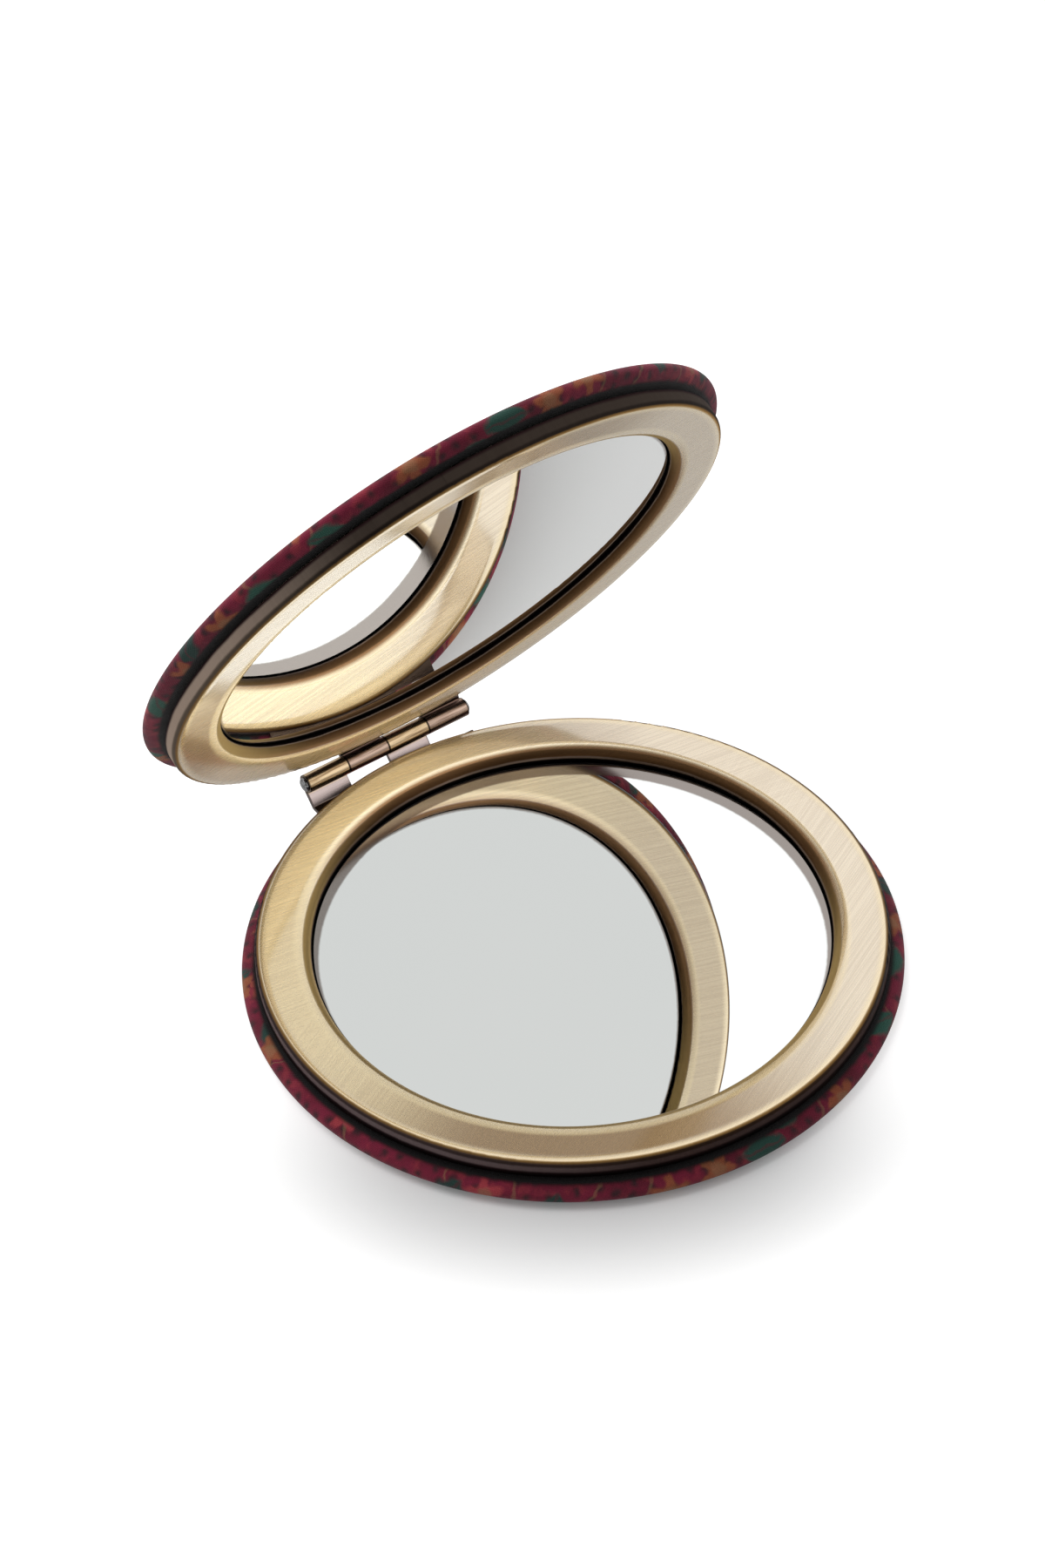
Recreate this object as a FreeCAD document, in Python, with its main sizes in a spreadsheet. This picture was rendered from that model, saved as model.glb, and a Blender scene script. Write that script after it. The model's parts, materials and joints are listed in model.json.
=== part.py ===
"""A round double-mirror compact: two like halves on a four-knuckle barrel hinge, standing open.

Each half is a cloth-wrapped padded disc glued to the back of a cast brass frame with a mirror in it.
Millimetres, +Z up. The origin is the middle of the base's underside, and the hinge runs along X at +Y.
"""

import FreeCAD, Part
import Sketcher
import math
import os

os.makedirs("parts", exist_ok=True)
doc = FreeCAD.newDocument("compact_mirror")

# Driving dimensions
SIZES = {
    "cover_radius": 35.0,
    "cover_thickness": 2.4,
    "cover_rim_flat": 0.2,
    "cloth_thickness": 0.35,
    "cloth_turn_in": 9.0,
    "foam_thickness": 0.5,
    "wrap_clearance": 0.05,
    "cover_glue_thickness": 0.1,
    "glue_setback": 0.4,
    "cover_overhang": 1.5,
    "floor_thickness": 0.45,
    "neck_setback": 1.3,
    "shoulder_radius": 0.6,
    "ring_width": 6.0,
    "lip_rounding": 1.0,
    "mirror_thickness": 1.0,
    "mirror_depth": 0.85,
    "mirror_clearance": 0.12,
    "mirror_glue_thickness": 0.1,
    "hinge_reach": 0.3,
    "hinge_rise": 0.4,
    "hinge_length": 20.6,
    "knuckle_radius": 1.05,
    "knuckle_gap": 0.1,
    "leaf_thickness": 0.45,
    "leaf_slope": 45.0,
    "leaf_bend_radius": 0.2,
    "leaf_clearance": 0.15,
    "leaf_setback": 1.0,
    "roll_seam_angle": 3.0,
    "notch_clearance": 0.3,
    "pocket_clearance": 0.2,
    "pin_clearance": 0.03,
    "pin_head_overlap": 0.18,
    "pin_head_height": 0.3,
    "pin_head_land": 0.03,
    "pin_end_play": 0.05,
    "rivet_radius": 0.6,
    "rivet_clearance": 0.03,
    "rivet_head_flare": 0.25,
    "rivet_length": 1.6,
    "rivet_inset": 3.8,
    "rivet_edge_distance": 1.7,
    "lid_angle": 65.0,
}
KNUCKLES = 4

sheet = doc.addObject("Spreadsheet::Sheet", "Sizes")
for row, (name, number) in enumerate(SIZES.items(), start=1):
    sheet.set(f"A{row}", name)
    sheet.set(f"B{row}", str(number))
    sheet.setAlias(f"B{row}", name)
doc.recompute()


class Size:
    """A number together with the expression that ties it to the sheet."""

    def __init__(self, number, text):
        self.number = number
        self.text = text

    def __add__(self, other):
        return Size(self.number + other.number, f"({self.text} + {other.text})")

    def __sub__(self, other):
        return Size(self.number - other.number, f"({self.text} - {other.text})")

    def __mul__(self, factor):
        return Size(self.number * factor, f"({self.text} * {factor})")

    def __neg__(self):
        return Size(-self.number, f"(-{self.text})")


def size(name):
    return Size(float(sheet.get(name)), f"Sizes.{name}")


ZERO = Size(0.0, "0")

# Heights of one half, from the outside of its cover up to its mirror side
cover_top = size("cover_thickness")
cloth_floor = size("cloth_thickness")
foam_top = cloth_floor + size("foam_thickness")
border_bottom = cover_top - size("cloth_thickness")
neck_bottom = cover_top + size("cover_glue_thickness")
leaf_bottom = cover_top + size("leaf_clearance")
ring_bottom = leaf_bottom + size("leaf_thickness")
recess_floor = neck_bottom + size("floor_thickness")
mirror_bottom = recess_floor + size("mirror_glue_thickness")
mirror_top = mirror_bottom + size("mirror_thickness")
face_height = mirror_top + size("mirror_depth")

# Radii of one half
cloth_inside = size("cover_radius") - size("cloth_thickness")
board_radius = cloth_inside - size("wrap_clearance")
edge_radius = (size("cover_thickness") - size("cover_rim_flat")) * 0.5
cloth_corner = edge_radius - size("cloth_thickness")
foam_radius = size("cover_radius") - edge_radius - size("wrap_clearance")
border_radius = size("cover_radius") - size("cloth_turn_in")
frame_radius = size("cover_radius") - size("cover_overhang")
neck_radius = frame_radius - size("neck_setback")
glue_radius = neck_radius - size("glue_setback")
lip_radius = frame_radius - size("ring_width")
mirror_radius = lip_radius - size("mirror_clearance")

# The hinge axis and the leaf that is rolled around it
hinge_y = size("cover_radius") + size("hinge_reach")
hinge_z = face_height + size("hinge_rise")
bore_radius = size("knuckle_radius") - size("leaf_thickness")
pin_radius = bore_radius - size("pin_clearance")
leaf_tail_end = lip_radius + size("leaf_setback")
rivet_x = size("hinge_length") * 0.5 - size("rivet_inset")
rivet_y = leaf_tail_end + size("rivet_edge_distance")
rivet_places = [(-rivet_x, rivet_y), (rivet_x, rivet_y)]
knuckle_pitch = (size("hinge_length") + size("knuckle_gap")) * (1 / KNUCKLES)


def new_body(label):
    return doc.addObject("PartDesign::Body", label)


def new_sketch(body, name, plane_role, lift=ZERO):
    """An empty sketch on one of the body's own planes, lifted along the plane's normal."""
    sketch = body.newObject("Sketcher::SketchObject", name)
    plane = next(f for f in body.Origin.OriginFeatures if f.Role == plane_role)
    sketch.AttachmentSupport = [(plane, "")]
    sketch.MapMode = "FlatFace"
    sketch.setExpression("AttachmentOffset.Base.z", lift.text)
    return sketch


def pin_point(sketch, geometry, point, across, up):
    """Ties one point of the sketch to the sheet, by its distances from the origin."""
    for kind, axis, distance in (("DistanceX", -2, across), ("DistanceY", -1, up)):
        if distance.number == 0:
            sketch.addConstraint(Sketcher.Constraint("PointOnObject", geometry, point, axis))
            continue
        ends = (-1, 1, geometry, point)
        if distance.number < 0:
            ends = (geometry, point, -1, 1)
            distance = -distance
        index = sketch.addConstraint(Sketcher.Constraint(kind, *ends, distance.number))
        sketch.setExpression(f"Constraints[{index}]", distance.text)


def draw_outline(sketch, corners):
    """A closed outline of straight lines through corners, each tied to the sheet."""
    first = sketch.GeometryCount
    points = [FreeCAD.Vector(across.number, up.number) for across, up in corners]
    count = len(points)
    for i in range(count):
        sketch.addGeometry(Part.LineSegment(points[i], points[(i + 1) % count]), False)
    for i, (across, up) in enumerate(corners):
        following = first + (i + 1) % count
        sketch.addConstraint(Sketcher.Constraint("Coincident", first + i, 2, following, 1))
        pin_point(sketch, first + i, 1, across, up)


def draw_circle(sketch, across, up, radius):
    centre = FreeCAD.Vector(across.number, up.number)
    index = sketch.addGeometry(Part.Circle(centre, FreeCAD.Vector(0, 0, 1), radius.number), False)
    pin_point(sketch, index, 3, across, up)
    constraint = sketch.addConstraint(Sketcher.Constraint("Radius", index, radius.number))
    sketch.setExpression(f"Constraints[{constraint}]", radius.text)


def revolve(body, sketch, axis):
    feature = body.newObject("PartDesign::Revolution", "Turned")
    feature.Profile = sketch
    feature.ReferenceAxis = (sketch, [axis])
    feature.Angle = 360
    doc.recompute()
    return feature


def turned_body(label, corners):
    """A body turned about the half's own axis from an outline of radii and heights."""
    body = new_body(label)
    sketch = new_sketch(body, "Section", "XZ_Plane")
    draw_outline(sketch, corners)
    revolve(body, sketch, "V_Axis")
    return body


def cut(body, sketch, name, depth=None, upwards=False):
    """A pocket from the sketch's plane, through everything on that side where no depth is given."""
    before = body.Shape.Volume
    pocket = body.newObject("PartDesign::Pocket", name)
    pocket.Profile = sketch
    pocket.Reversed = upwards
    if depth is None:
        pocket.Type = "ThroughAll"
    else:
        pocket.setExpression("Length", depth.text)
    doc.recompute()
    if body.Shape.Volume >= before:
        raise RuntimeError(f"{body.Label}: {name} cuts nothing")


def ring_edges(shape, radius, height):
    """Names of the round edges of that radius at that height."""
    names = []
    for number, edge in enumerate(shape.Edges, start=1):
        if not isinstance(edge.Curve, Part.Circle):
            continue
        centre = edge.Curve.Center
        off = max(abs(edge.Curve.Radius - radius.number), abs(centre.z - height.number))
        if off < 1e-4 and math.hypot(centre.x, centre.y) < 1e-4:
            names.append(f"Edge{number}")
    return names


def round_edges(body, names, radius):
    base = body.Tip
    fillet = body.newObject("PartDesign::Fillet", "Rounded")
    fillet.Base = (base, names)
    fillet.setExpression("Radius", radius.text)
    doc.recompute()


def disc(label, radius, bottom, top):
    feature = doc.addObject("Part::Cylinder", label)
    feature.setExpression("Radius", radius.text)
    feature.setExpression("Height", (top - bottom).text)
    feature.Placement.Base = FreeCAD.Vector(0, 0, bottom.number)
    return feature


# Cloth skin: drawn round the board's edge and turned in over its back
def cover_cloth(label):
    body = turned_body(
        label,
        [
            (ZERO, ZERO),
            (size("cover_radius"), ZERO),
            (size("cover_radius"), cover_top),
            (border_radius, cover_top),
            (border_radius, border_bottom),
            (cloth_inside, border_bottom),
            (cloth_inside, cloth_floor),
            (ZERO, cloth_floor),
        ],
    )
    for radius, heights, rounding in (
        (size("cover_radius"), (ZERO, cover_top), edge_radius),
        (cloth_inside, (cloth_floor, border_bottom), cloth_corner),
    ):
        names = [n for height in heights for n in ring_edges(body.Shape, radius, height)]
        round_edges(body, names, rounding)
    return body


# Stiff board that the cloth is wrapped on, with its upper edge rounded off under the turn-in
def cover_board(label):
    body = turned_body(
        label,
        [(ZERO, foam_top), (board_radius, foam_top), (board_radius, border_bottom), (ZERO, border_bottom)],
    )
    round_edges(body, ring_edges(body.Shape, board_radius, border_bottom), cloth_corner)
    return body


# Glue that fills the hollow inside the turned-in cloth and holds the frame on
def cover_glue(label):
    hollow_radius = border_radius - size("wrap_clearance")
    return turned_body(
        label,
        [
            (ZERO, border_bottom),
            (hollow_radius, border_bottom),
            (hollow_radius, cover_top),
            (glue_radius, cover_top),
            (glue_radius, neck_bottom),
            (ZERO, neck_bottom),
        ],
    )


# Cast frame: a flat ring with a rounded shoulder, a rounded lip at the mirror's recess, and a neck behind
def frame(label):
    body = turned_body(
        label,
        [
            (ZERO, neck_bottom),
            (neck_radius, neck_bottom),
            (neck_radius, ring_bottom),
            (frame_radius, ring_bottom),
            (frame_radius, face_height),
            (lip_radius, face_height),
            (lip_radius, recess_floor),
            (ZERO, recess_floor),
        ],
    )
    round_edges(body, ring_edges(body.Shape, frame_radius, face_height), size("shoulder_radius"))
    round_edges(body, ring_edges(body.Shape, lip_radius, face_height), size("lip_rounding"))

    # Pocket in the neck for the hinge leaf, open towards the hinge
    half_width = size("hinge_length") * 0.5 + size("pocket_clearance")
    pocket_inner = leaf_tail_end - size("pocket_clearance")
    sketch = new_sketch(body, "LeafPocket", "XY_Plane", ring_bottom)
    draw_outline(
        sketch,
        [
            (-half_width, pocket_inner),
            (half_width, pocket_inner),
            (half_width, hinge_y),
            (-half_width, hinge_y),
        ],
    )
    cut(body, sketch, "LeafPocketCut")

    # Blind holes above the pocket for the leaf's rivets
    sketch = new_sketch(body, "RivetHoles", "XY_Plane", ring_bottom)
    for across, up in rivet_places:
        draw_circle(sketch, across, up, size("rivet_radius") + size("rivet_clearance"))
    depth = size("rivet_length") - size("leaf_thickness") + size("rivet_clearance")
    cut(body, sketch, "RivetHolesCut", depth, upwards=True)
    return body


# Section of a hinge leaf: a flat tail, a sloped web and a knuckle rolled round the pin in one strip
def leaf_section(sketch):
    slope = math.radians(float(sheet.get("leaf_slope")))
    outer = size("knuckle_radius").number
    inner = bore_radius.number
    start = slope - math.pi / 2
    seam = math.acos(inner / outer) + math.radians(float(sheet.get("roll_seam_angle")))
    end = start + 2 * math.pi - seam
    centre = FreeCAD.Vector(hinge_y.number, hinge_z.number)

    def on_roll(radius, angle):
        return centre + FreeCAD.Vector(math.cos(angle), math.sin(angle)) * radius

    def down_web(point, height):
        drop = point.y - height.number
        return FreeCAD.Vector(point.x - drop / math.tan(slope), height.number)

    outer_bend = down_web(on_roll(outer, start), leaf_bottom)
    inner_bend = down_web(on_roll(inner, start), ring_bottom)
    tail_low = FreeCAD.Vector(leaf_tail_end.number, leaf_bottom.number)
    tail_high = FreeCAD.Vector(leaf_tail_end.number, ring_bottom.number)
    normal = FreeCAD.Vector(0, 0, 1)

    def line(a, b):
        return sketch.addGeometry(Part.LineSegment(a, b), False)

    def arc(radius):
        return sketch.addGeometry(Part.ArcOfCircle(Part.Circle(centre, normal, radius), start, end), False)

    underside = line(tail_low, outer_bend)
    web_outside = line(outer_bend, on_roll(outer, start))
    roll_outside = arc(outer)
    roll_end = line(on_roll(outer, end), on_roll(inner, end))
    roll_inside = arc(inner)
    web_inside = line(on_roll(inner, start), inner_bend)
    top = line(inner_bend, tail_high)
    tail_end = line(tail_high, tail_low)

    def constrain(kind, *places):
        return sketch.addConstraint(Sketcher.Constraint(kind, *places))

    def drive(index, text):
        sketch.setExpression(f"Constraints[{index}]", text)

    constrain("Coincident", underside, 2, web_outside, 1)
    constrain("Tangent", web_outside, 2, roll_outside, 1)
    constrain("Coincident", roll_outside, 2, roll_end, 1)
    constrain("Coincident", roll_end, 2, roll_inside, 2)
    constrain("Tangent", roll_inside, 1, web_inside, 1)
    constrain("Coincident", web_inside, 2, top, 1)
    constrain("Coincident", top, 2, tail_end, 1)
    constrain("Coincident", tail_end, 2, underside, 1)
    constrain("Coincident", roll_outside, 3, roll_inside, 3)
    constrain("PointOnObject", roll_outside, 3, roll_end)
    constrain("Parallel", web_outside, web_inside)
    constrain("Horizontal", underside)
    constrain("Horizontal", top)
    pin_point(sketch, roll_outside, 3, hinge_y, hinge_z)
    pin_point(sketch, tail_end, 1, leaf_tail_end, ring_bottom)
    pin_point(sketch, tail_end, 2, leaf_tail_end, leaf_bottom)
    drive(constrain("Radius", roll_outside, outer), size("knuckle_radius").text)
    drive(constrain("Radius", roll_inside, inner), bore_radius.text)
    drive(constrain("Angle", underside, 1, web_outside, 1, slope), "Sizes.leaf_slope * 1 deg")
    seam_text = f"acos({bore_radius.text} / Sizes.knuckle_radius) + Sizes.roll_seam_angle * 1 deg"
    drive(constrain("Angle", roll_outside, end - start), f"360 deg - ({seam_text})")


def edges_along_x(shape, point):
    """Names of the edges along X that pass through that Y and Z."""
    names = []
    for number, edge in enumerate(shape.Edges, start=1):
        ends = [vertex.Point for vertex in edge.Vertexes]
        if all(math.hypot(end.y - point.x, end.z - point.y) < 1e-4 for end in ends):
            names.append(f"Edge{number}")
    return names


# Hinge leaf: the first and third knuckles from the left are its own, and notches clear the other leaf's
def hinge_leaf(label):
    body = new_body(label)
    section = new_sketch(body, "LeafSection", "YZ_Plane")
    leaf_section(section)
    pad = body.newObject("PartDesign::Pad", "LeafStrip")
    pad.Profile = section
    pad.SideType = "Symmetric"
    pad.setExpression("Length", size("hinge_length").text)
    doc.recompute()
    outer_bend = section.Geometry[1].StartPoint
    inner_bend = section.Geometry[5].EndPoint
    bend = size("leaf_bend_radius")
    round_edges(body, edges_along_x(body.Shape, outer_bend), bend + size("leaf_thickness"))
    round_edges(body, edges_along_x(body.Shape, inner_bend), bend)

    # Notches as wide as the other leaf's knuckles, from the web's foot outwards
    notch_inner = frame_radius + size("notch_clearance")
    reach = size("knuckle_radius") + size("notch_clearance")
    notch_outer = hinge_y + reach
    sketch = new_sketch(body, "Notches", "XY_Plane", hinge_z + reach)
    left_end = size("hinge_length") * -0.5
    for place in range(1, KNUCKLES, 2):
        left = left_end + knuckle_pitch * place - size("knuckle_gap")
        right = left_end + knuckle_pitch * (place + 1)
        draw_outline(
            sketch,
            [(left, notch_inner), (right, notch_inner), (right, notch_outer), (left, notch_outer)],
        )
    cut(body, sketch, "NotchesCut")

    # Rivet holes through the tail, flared below so that the rivets end flush
    sketch = new_sketch(body, "RivetHoles", "XY_Plane", ring_bottom)
    hole_radius = size("rivet_radius") + size("rivet_clearance")
    for across, up in rivet_places:
        draw_circle(sketch, across, up, hole_radius)
    cut(body, sketch, "RivetHolesCut", size("leaf_thickness"))
    rims = []
    for number, edge in enumerate(body.Shape.Edges, start=1):
        if isinstance(edge.Curve, Part.Circle) and abs(edge.Curve.Center.z - leaf_bottom.number) < 1e-4:
            rims.append(f"Edge{number}")
    holed = body.Tip
    flare = body.newObject("PartDesign::Chamfer", "RivetFlare")
    flare.Base = (holed, rims)
    flare.setExpression("Size", size("rivet_head_flare").text)
    doc.recompute()
    return body


# Flush rivet from the leaf's tail up into the frame
def rivet(label, across):
    radius = size("rivet_radius")
    head_radius = radius + size("rivet_head_flare")
    head_top = leaf_bottom + size("rivet_head_flare")
    body = turned_body(
        label,
        [
            (ZERO, leaf_bottom),
            (head_radius, leaf_bottom),
            (radius, head_top),
            (radius, leaf_bottom + size("rivet_length")),
            (ZERO, leaf_bottom + size("rivet_length")),
        ],
    )
    body.Placement.Base = FreeCAD.Vector(across.number, rivet_y.number, 0)
    return body


# Hinge pin through all four knuckles, with a rounded head at each end
def hinge_pin(label):
    body = new_body(label)
    shank_end = size("hinge_length") * 0.5 + size("pin_end_play")
    head_end = shank_end + size("pin_head_height")
    head_radius = bore_radius + size("pin_head_overlap")
    sketch = new_sketch(body, "Section", "XY_Plane")
    draw_outline(
        sketch,
        [
            (-head_end, ZERO),
            (-head_end, head_radius),
            (-shank_end, head_radius),
            (-shank_end, pin_radius),
            (shank_end, pin_radius),
            (shank_end, head_radius),
            (head_end, head_radius),
            (head_end, ZERO),
        ],
    )
    revolve(body, sketch, "H_Axis")
    rims = []
    for number, edge in enumerate(body.Shape.Edges, start=1):
        if isinstance(edge.Curve, Part.Circle) and abs(abs(edge.Curve.Center.x) - head_end.number) < 1e-4:
            rims.append(f"Edge{number}")
    round_edges(body, rims, size("pin_head_height") - size("pin_head_land"))
    body.Placement.Base = FreeCAD.Vector(0, hinge_y.number, hinge_z.number)
    return body


def half(prefix):
    """The pieces of one half of the compact, lying on its cover with the mirror side up."""
    pieces = [
        cover_cloth(f"{prefix}_cover_cloth"),
        disc(f"{prefix}_cover_foam", foam_radius, cloth_floor, foam_top),
        cover_board(f"{prefix}_cover_board"),
        cover_glue(f"{prefix}_cover_glue"),
        frame(f"{prefix}_frame"),
        disc(f"{prefix}_mirror_glue", mirror_radius, recess_floor, mirror_bottom),
        disc(f"{prefix}_mirror", mirror_radius, mirror_bottom, mirror_top),
        hinge_leaf(f"{prefix}_hinge_leaf"),
    ]
    for side, (across, _) in zip(("left", "right"), rivet_places):
        pieces.append(rivet(f"{prefix}_rivet_{side}", across))
    return pieces


# The lid is the same half turned over end for end about the hinge, then swung open
hinge_point = FreeCAD.Vector(0, hinge_y.number, hinge_z.number)
turn_over = FreeCAD.Rotation(FreeCAD.Vector(0, 1, 0), 180)
swing_open = FreeCAD.Rotation(FreeCAD.Vector(1, 0, 0), -float(sheet.get("lid_angle")))
lid_place = FreeCAD.Placement(FreeCAD.Vector(), swing_open * turn_over, hinge_point)

subparts = half("base")
subparts.append(hinge_pin("hinge_pin"))
for piece in half("lid"):
    piece.Placement = lid_place * piece.Placement
    subparts.append(piece)
doc.recompute()

for item in doc.Objects:
    if "Invalid" in item.State or "Error" in item.State:
        raise RuntimeError(f"{item.Label} failed: {item.State}")
for piece in subparts:
    if piece.Shape.isNull() or not piece.Shape.isValid() or len(piece.Shape.Solids) != 1:
        raise RuntimeError(f"{piece.Label} is not one valid solid")
for piece in subparts:
    piece.Shape.exportStep(f"parts/{piece.Label}.step")
    print(f"{piece.Label}: {piece.Shape.Volume:.1f} mm3")
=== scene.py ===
import json
import math
from collections import namedtuple

import bpy
import numpy as np
from mathutils import Euler, Matrix, Vector


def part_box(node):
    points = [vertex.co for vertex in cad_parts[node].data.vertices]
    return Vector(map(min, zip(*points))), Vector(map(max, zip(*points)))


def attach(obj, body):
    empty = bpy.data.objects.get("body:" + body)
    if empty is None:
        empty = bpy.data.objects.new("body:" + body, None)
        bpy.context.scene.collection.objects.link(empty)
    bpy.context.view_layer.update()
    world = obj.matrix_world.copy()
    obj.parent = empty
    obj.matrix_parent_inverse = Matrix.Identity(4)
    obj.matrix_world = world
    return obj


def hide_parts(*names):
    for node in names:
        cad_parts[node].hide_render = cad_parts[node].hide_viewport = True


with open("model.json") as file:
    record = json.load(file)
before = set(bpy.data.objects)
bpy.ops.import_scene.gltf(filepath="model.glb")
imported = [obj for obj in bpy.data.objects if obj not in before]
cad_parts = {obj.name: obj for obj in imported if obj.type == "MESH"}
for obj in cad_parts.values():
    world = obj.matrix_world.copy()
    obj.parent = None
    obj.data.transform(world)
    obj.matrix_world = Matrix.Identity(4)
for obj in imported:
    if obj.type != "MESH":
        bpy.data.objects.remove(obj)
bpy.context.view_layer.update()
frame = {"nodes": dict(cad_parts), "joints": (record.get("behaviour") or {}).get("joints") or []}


# Cover boards. A round of grey pasteboard stiffens each cover, and the cloth is wrapped round it.
# It is pressed from waste paper, so its surface is matt and flecked with fibres.
# The boards lie wholly inside the covers.
MM = 1000.0


def paint(red, green, blue):
    """The linear colour of a screen colour given from 0 to 255, by the sRGB curve."""
    screen = np.array([red, green, blue]) / 255.0
    linear = np.where(screen <= 0.04045, screen / 12.92, ((screen + 0.055) / 1.055) ** 2.4)
    return (*linear.tolist(), 1.0)


class Wiring:
    """Shader nodes that are added one after another to one node tree."""

    def __init__(self, tree):
        self.tree = tree

    def feed(self, socket, value):
        """Link an output into the socket, or set a plain number, vector or colour on it."""
        if isinstance(value, bpy.types.NodeSocket):
            self.tree.links.new(value, socket)
        else:
            socket.default_value = value

    def node(self, kind, inputs, output=0, **settings):
        """One shader node with its settings and inputs; gives back the output that is asked for."""
        made = self.tree.nodes.new("ShaderNode" + kind)
        for name, value in settings.items():
            setattr(made, name, value)
        for name, value in inputs.items():
            self.feed(made.inputs[name], value)
        return made.outputs[output]

    def sum(self, operation, *values):
        """One sum of plain numbers or outputs, such as ADD or MULTIPLY."""
        return self.node("Math", dict(enumerate(values)), operation=operation)

    def vector(self, operation, *vectors):
        """The vector that one sum of vectors gives, such as SUBTRACT or NORMALIZE."""
        return self.node("VectorMath", dict(enumerate(vectors)), operation=operation)

    def measure(self, operation, *vectors):
        """The number that one sum of vectors gives, such as LENGTH or DOT_PRODUCT."""
        return self.node("VectorMath", dict(enumerate(vectors)), output="Value", operation=operation)

    def rise(self, value, low, high):
        """From 0 at low to 1 at high, along a smooth step; low may be the larger."""
        inputs = {"Value": value, "From Min": low, "From Max": high}
        return self.node("MapRange", inputs, interpolation_type="SMOOTHSTEP")

    def between(self, value, start, end):
        """From start where the value is 0 to end where it is 1, in a straight line."""
        return self.node("MapRange", {"Value": value, "To Min": start, "To Max": end})

    def blend(self, share, first, second):
        """The first number where the share is 0, the second where it is 1."""
        return self.node("Mix", {0: share, 2: first, 3: second}, data_type="FLOAT")

    def mix(self, share, first, second):
        """The first colour where the share is 0, the second where it is 1."""
        return self.node("Mix", {0: share, 6: first, 7: second}, output=2, data_type="RGBA")


class Finish(Wiring):
    """A finish: wiring that is fed at the end into one Principled shader."""

    def __init__(self, name):
        self.material = bpy.data.materials.new(name)
        self.material.use_nodes = True
        super().__init__(self.material.node_tree)
        self.shader = self.tree.nodes["Principled BSDF"]

    def object_mm(self):
        """Places on the piece in millimetres, in the frame of the whole compact."""
        place = self.node("TexCoord", {}, output="Object")
        return self.node("Mapping", {"Vector": place, "Scale": (MM, MM, MM)})

    def noise(self, place, scale, detail=3.0, roughness=0.55):
        """Cloudy noise from 0 to 1, with about scale clouds to a millimetre."""
        inputs = {"Vector": place, "Scale": scale, "Detail": detail, "Roughness": roughness}
        return self.node("TexNoise", inputs)

    def relief(self, height, depth, **over):
        """A normal tilted as if the surface rose by height times depth millimetres.

        Normal= names the normal that it is laid over, where that isn't the mesh's own.
        """
        inputs = {"Height": height, "Distance": depth / MM, "Strength": 1.0, **over}
        return self.node("Bump", inputs, output="Normal")

    def coat(self, **sockets):
        """Feed the shader's sockets; Base_Color stands for Base Color."""
        for name, value in sockets.items():
            self.feed(self.shader.inputs[name.replace("_", " ")], value)
        return self.material


def dress(node, material):
    """Give a CAD node's one material slot its finish."""
    frame["nodes"][node].material_slots[0].material = material


BOARD_GREY = paint(150, 142, 128)
BOARD_FLECK = paint(112, 101, 86)
PULP_DEPTH = 0.04

board = Finish("pasteboard")
pulp = board.noise(board.object_mm(), scale=2.2, detail=5.0)
board.coat(
    Base_Color=board.mix(board.rise(pulp, 0.42, 0.66), BOARD_GREY, BOARD_FLECK),
    Roughness=board.between(pulp, 0.8, 0.95),
    Normal=board.relief(pulp, PULP_DEPTH),
)
for half in ("base", "lid"):
    dress(f"{half}_cover_board", board.material)


# Covers. Printed cotton is drawn over thin foam, round the edge of the board and turned in over its back.
# The foam makes the edge plump; the cloth is a plain weave with a small scattered print.
# Each half is worked out lying on its back, mirror up; the lid is that half turned over and swung open.
COVER_LOW, COVER_HIGH = (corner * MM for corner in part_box("base_cover_cloth"))
COVER_RADIUS = COVER_HIGH.x
COVER_THICKNESS = COVER_HIGH.z - COVER_LOW.z
BOARD_LOW, BOARD_HIGH = (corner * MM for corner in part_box("base_cover_board"))
BOARD_ROUNDING = 0.75
TURN_IN_RADIUS = 26.0
NOSE_OUTSIDE = 1.7
NOSE_TURNED_IN = 2.6
SQUARE_OUTSIDE = 0.86
SQUARE_TURNED_IN = 1.0
CROWN_DROP = 0.22
CROWN_WIDTH = 9.0
PUCKER_HEIGHT = 0.035
PUCKER_INSET = 0.7
PUCKER_REACH = 1.1
PUCKER_COUNTS = np.array([61, 43, 97])
PUCKER_STARTS = {"base": np.array([0.0, 2.1, 0.7]), "lid": np.array([1.3, 3.4, -0.6])}
SHADED_RADIUS = 33.9
HINGE_POINT = np.array(frame["joints"][0]["pos_m"]) * MM
LID_OPEN = math.radians(65.0)
LID_TO_HALF = Euler((LID_OPEN, math.pi, 0.0)).to_matrix()
AROUND = 384
FLAT_RINGS = 40
NOSE_RINGS = 40
BORDER_RINGS = 5
BEND_RINGS = 7


def set_in_place(points, half):
    """Metres in the whole compact's frame of millimetres in one half's own frame."""
    if half == "lid":
        points = (points - HINGE_POINT) @ np.array(LID_TO_HALF) + HINGE_POINT
    return points / MM


def half_mm(finish, half):
    """Places on a piece in millimetres, in its half's own frame, so that both halves wear alike."""
    if half == "base":
        return finish.object_mm()
    place = finish.node("TexCoord", {}, output="Object")
    shift = Vector(HINGE_POINT) - LID_TO_HALF @ Vector(HINGE_POINT)
    turned = {"Vector": place, "Location": shift, "Rotation": LID_TO_HALF.to_euler(), "Scale": (MM, MM, MM)}
    return finish.node("Mapping", turned)


def carried_round(radius, height):
    """A section's radius and height, of one or more columns, carried round the axis as a grid of points."""
    angle = np.linspace(0.0, 2 * math.pi, AROUND, endpoint=False)
    heights = np.broadcast_to(height.reshape(len(radius), -1), (len(radius), AROUND))
    return np.stack([radius[:, None] * np.cos(angle), radius[:, None] * np.sin(angle), heights], axis=-1)


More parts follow.
